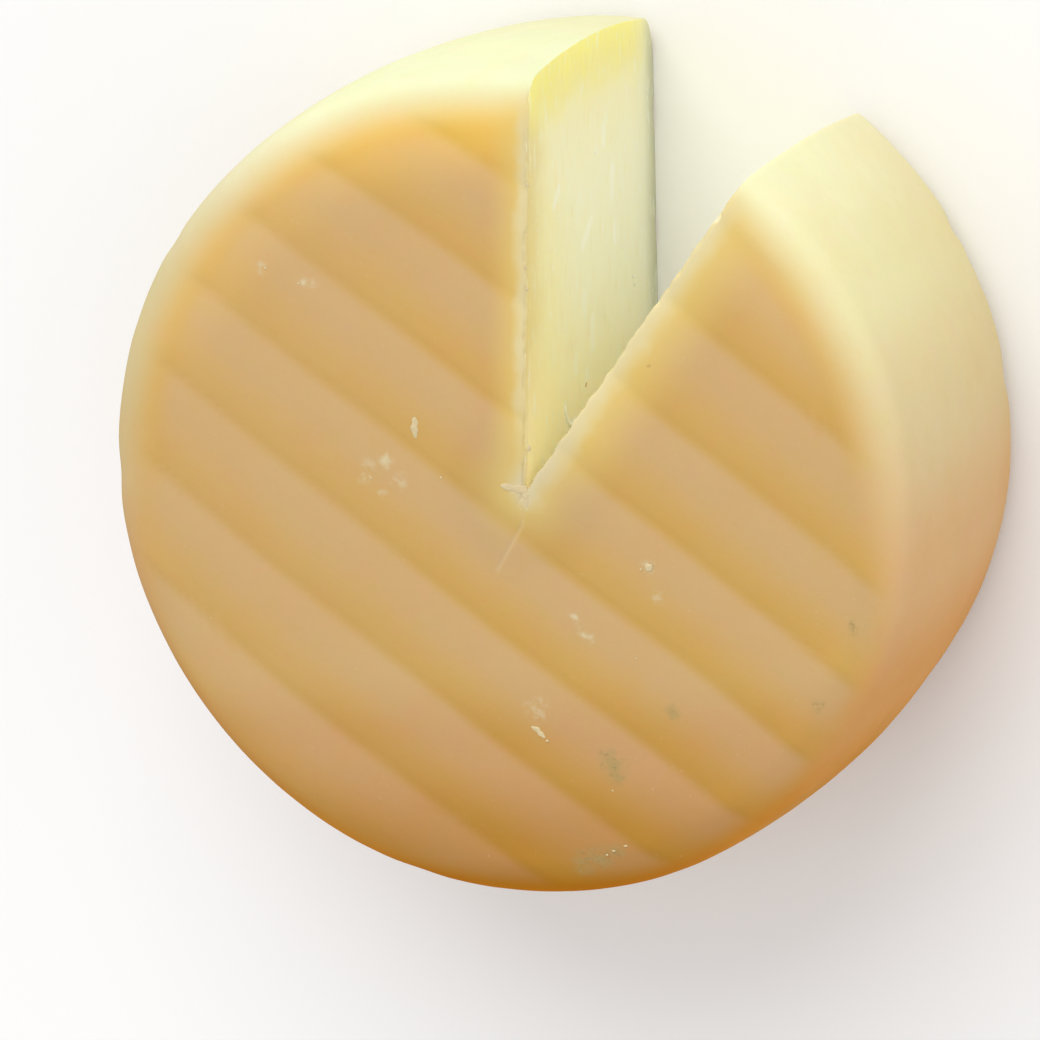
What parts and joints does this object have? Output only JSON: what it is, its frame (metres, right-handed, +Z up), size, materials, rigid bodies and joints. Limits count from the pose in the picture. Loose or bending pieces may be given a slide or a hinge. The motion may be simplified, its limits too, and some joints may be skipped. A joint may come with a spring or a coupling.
{
  "type": "semi-hard cheese wheel with a wedge cut out",
  "caption": "Thick round cheese wheel lying flat, with soft rounded edges, a ribbed rind face and a narrow wedge cut out from the rim to the middle.",
  "frame": {"origin": "centre of the box around the wheel, on the surface it lies on", "axes": "+Z up along the wheel's axis, -Y out through the middle of the notch, +X to the right of someone who faces the notch"},
  "size_m": [0.2808, 0.275, 0.128],
  "materials": {
    "cheese": "satin, waxy natural rind and smooth cut paste"
  },
  "bodies": {
    "root": {"cheese_wheel": "cheese"}
  },
  "joints": []
}
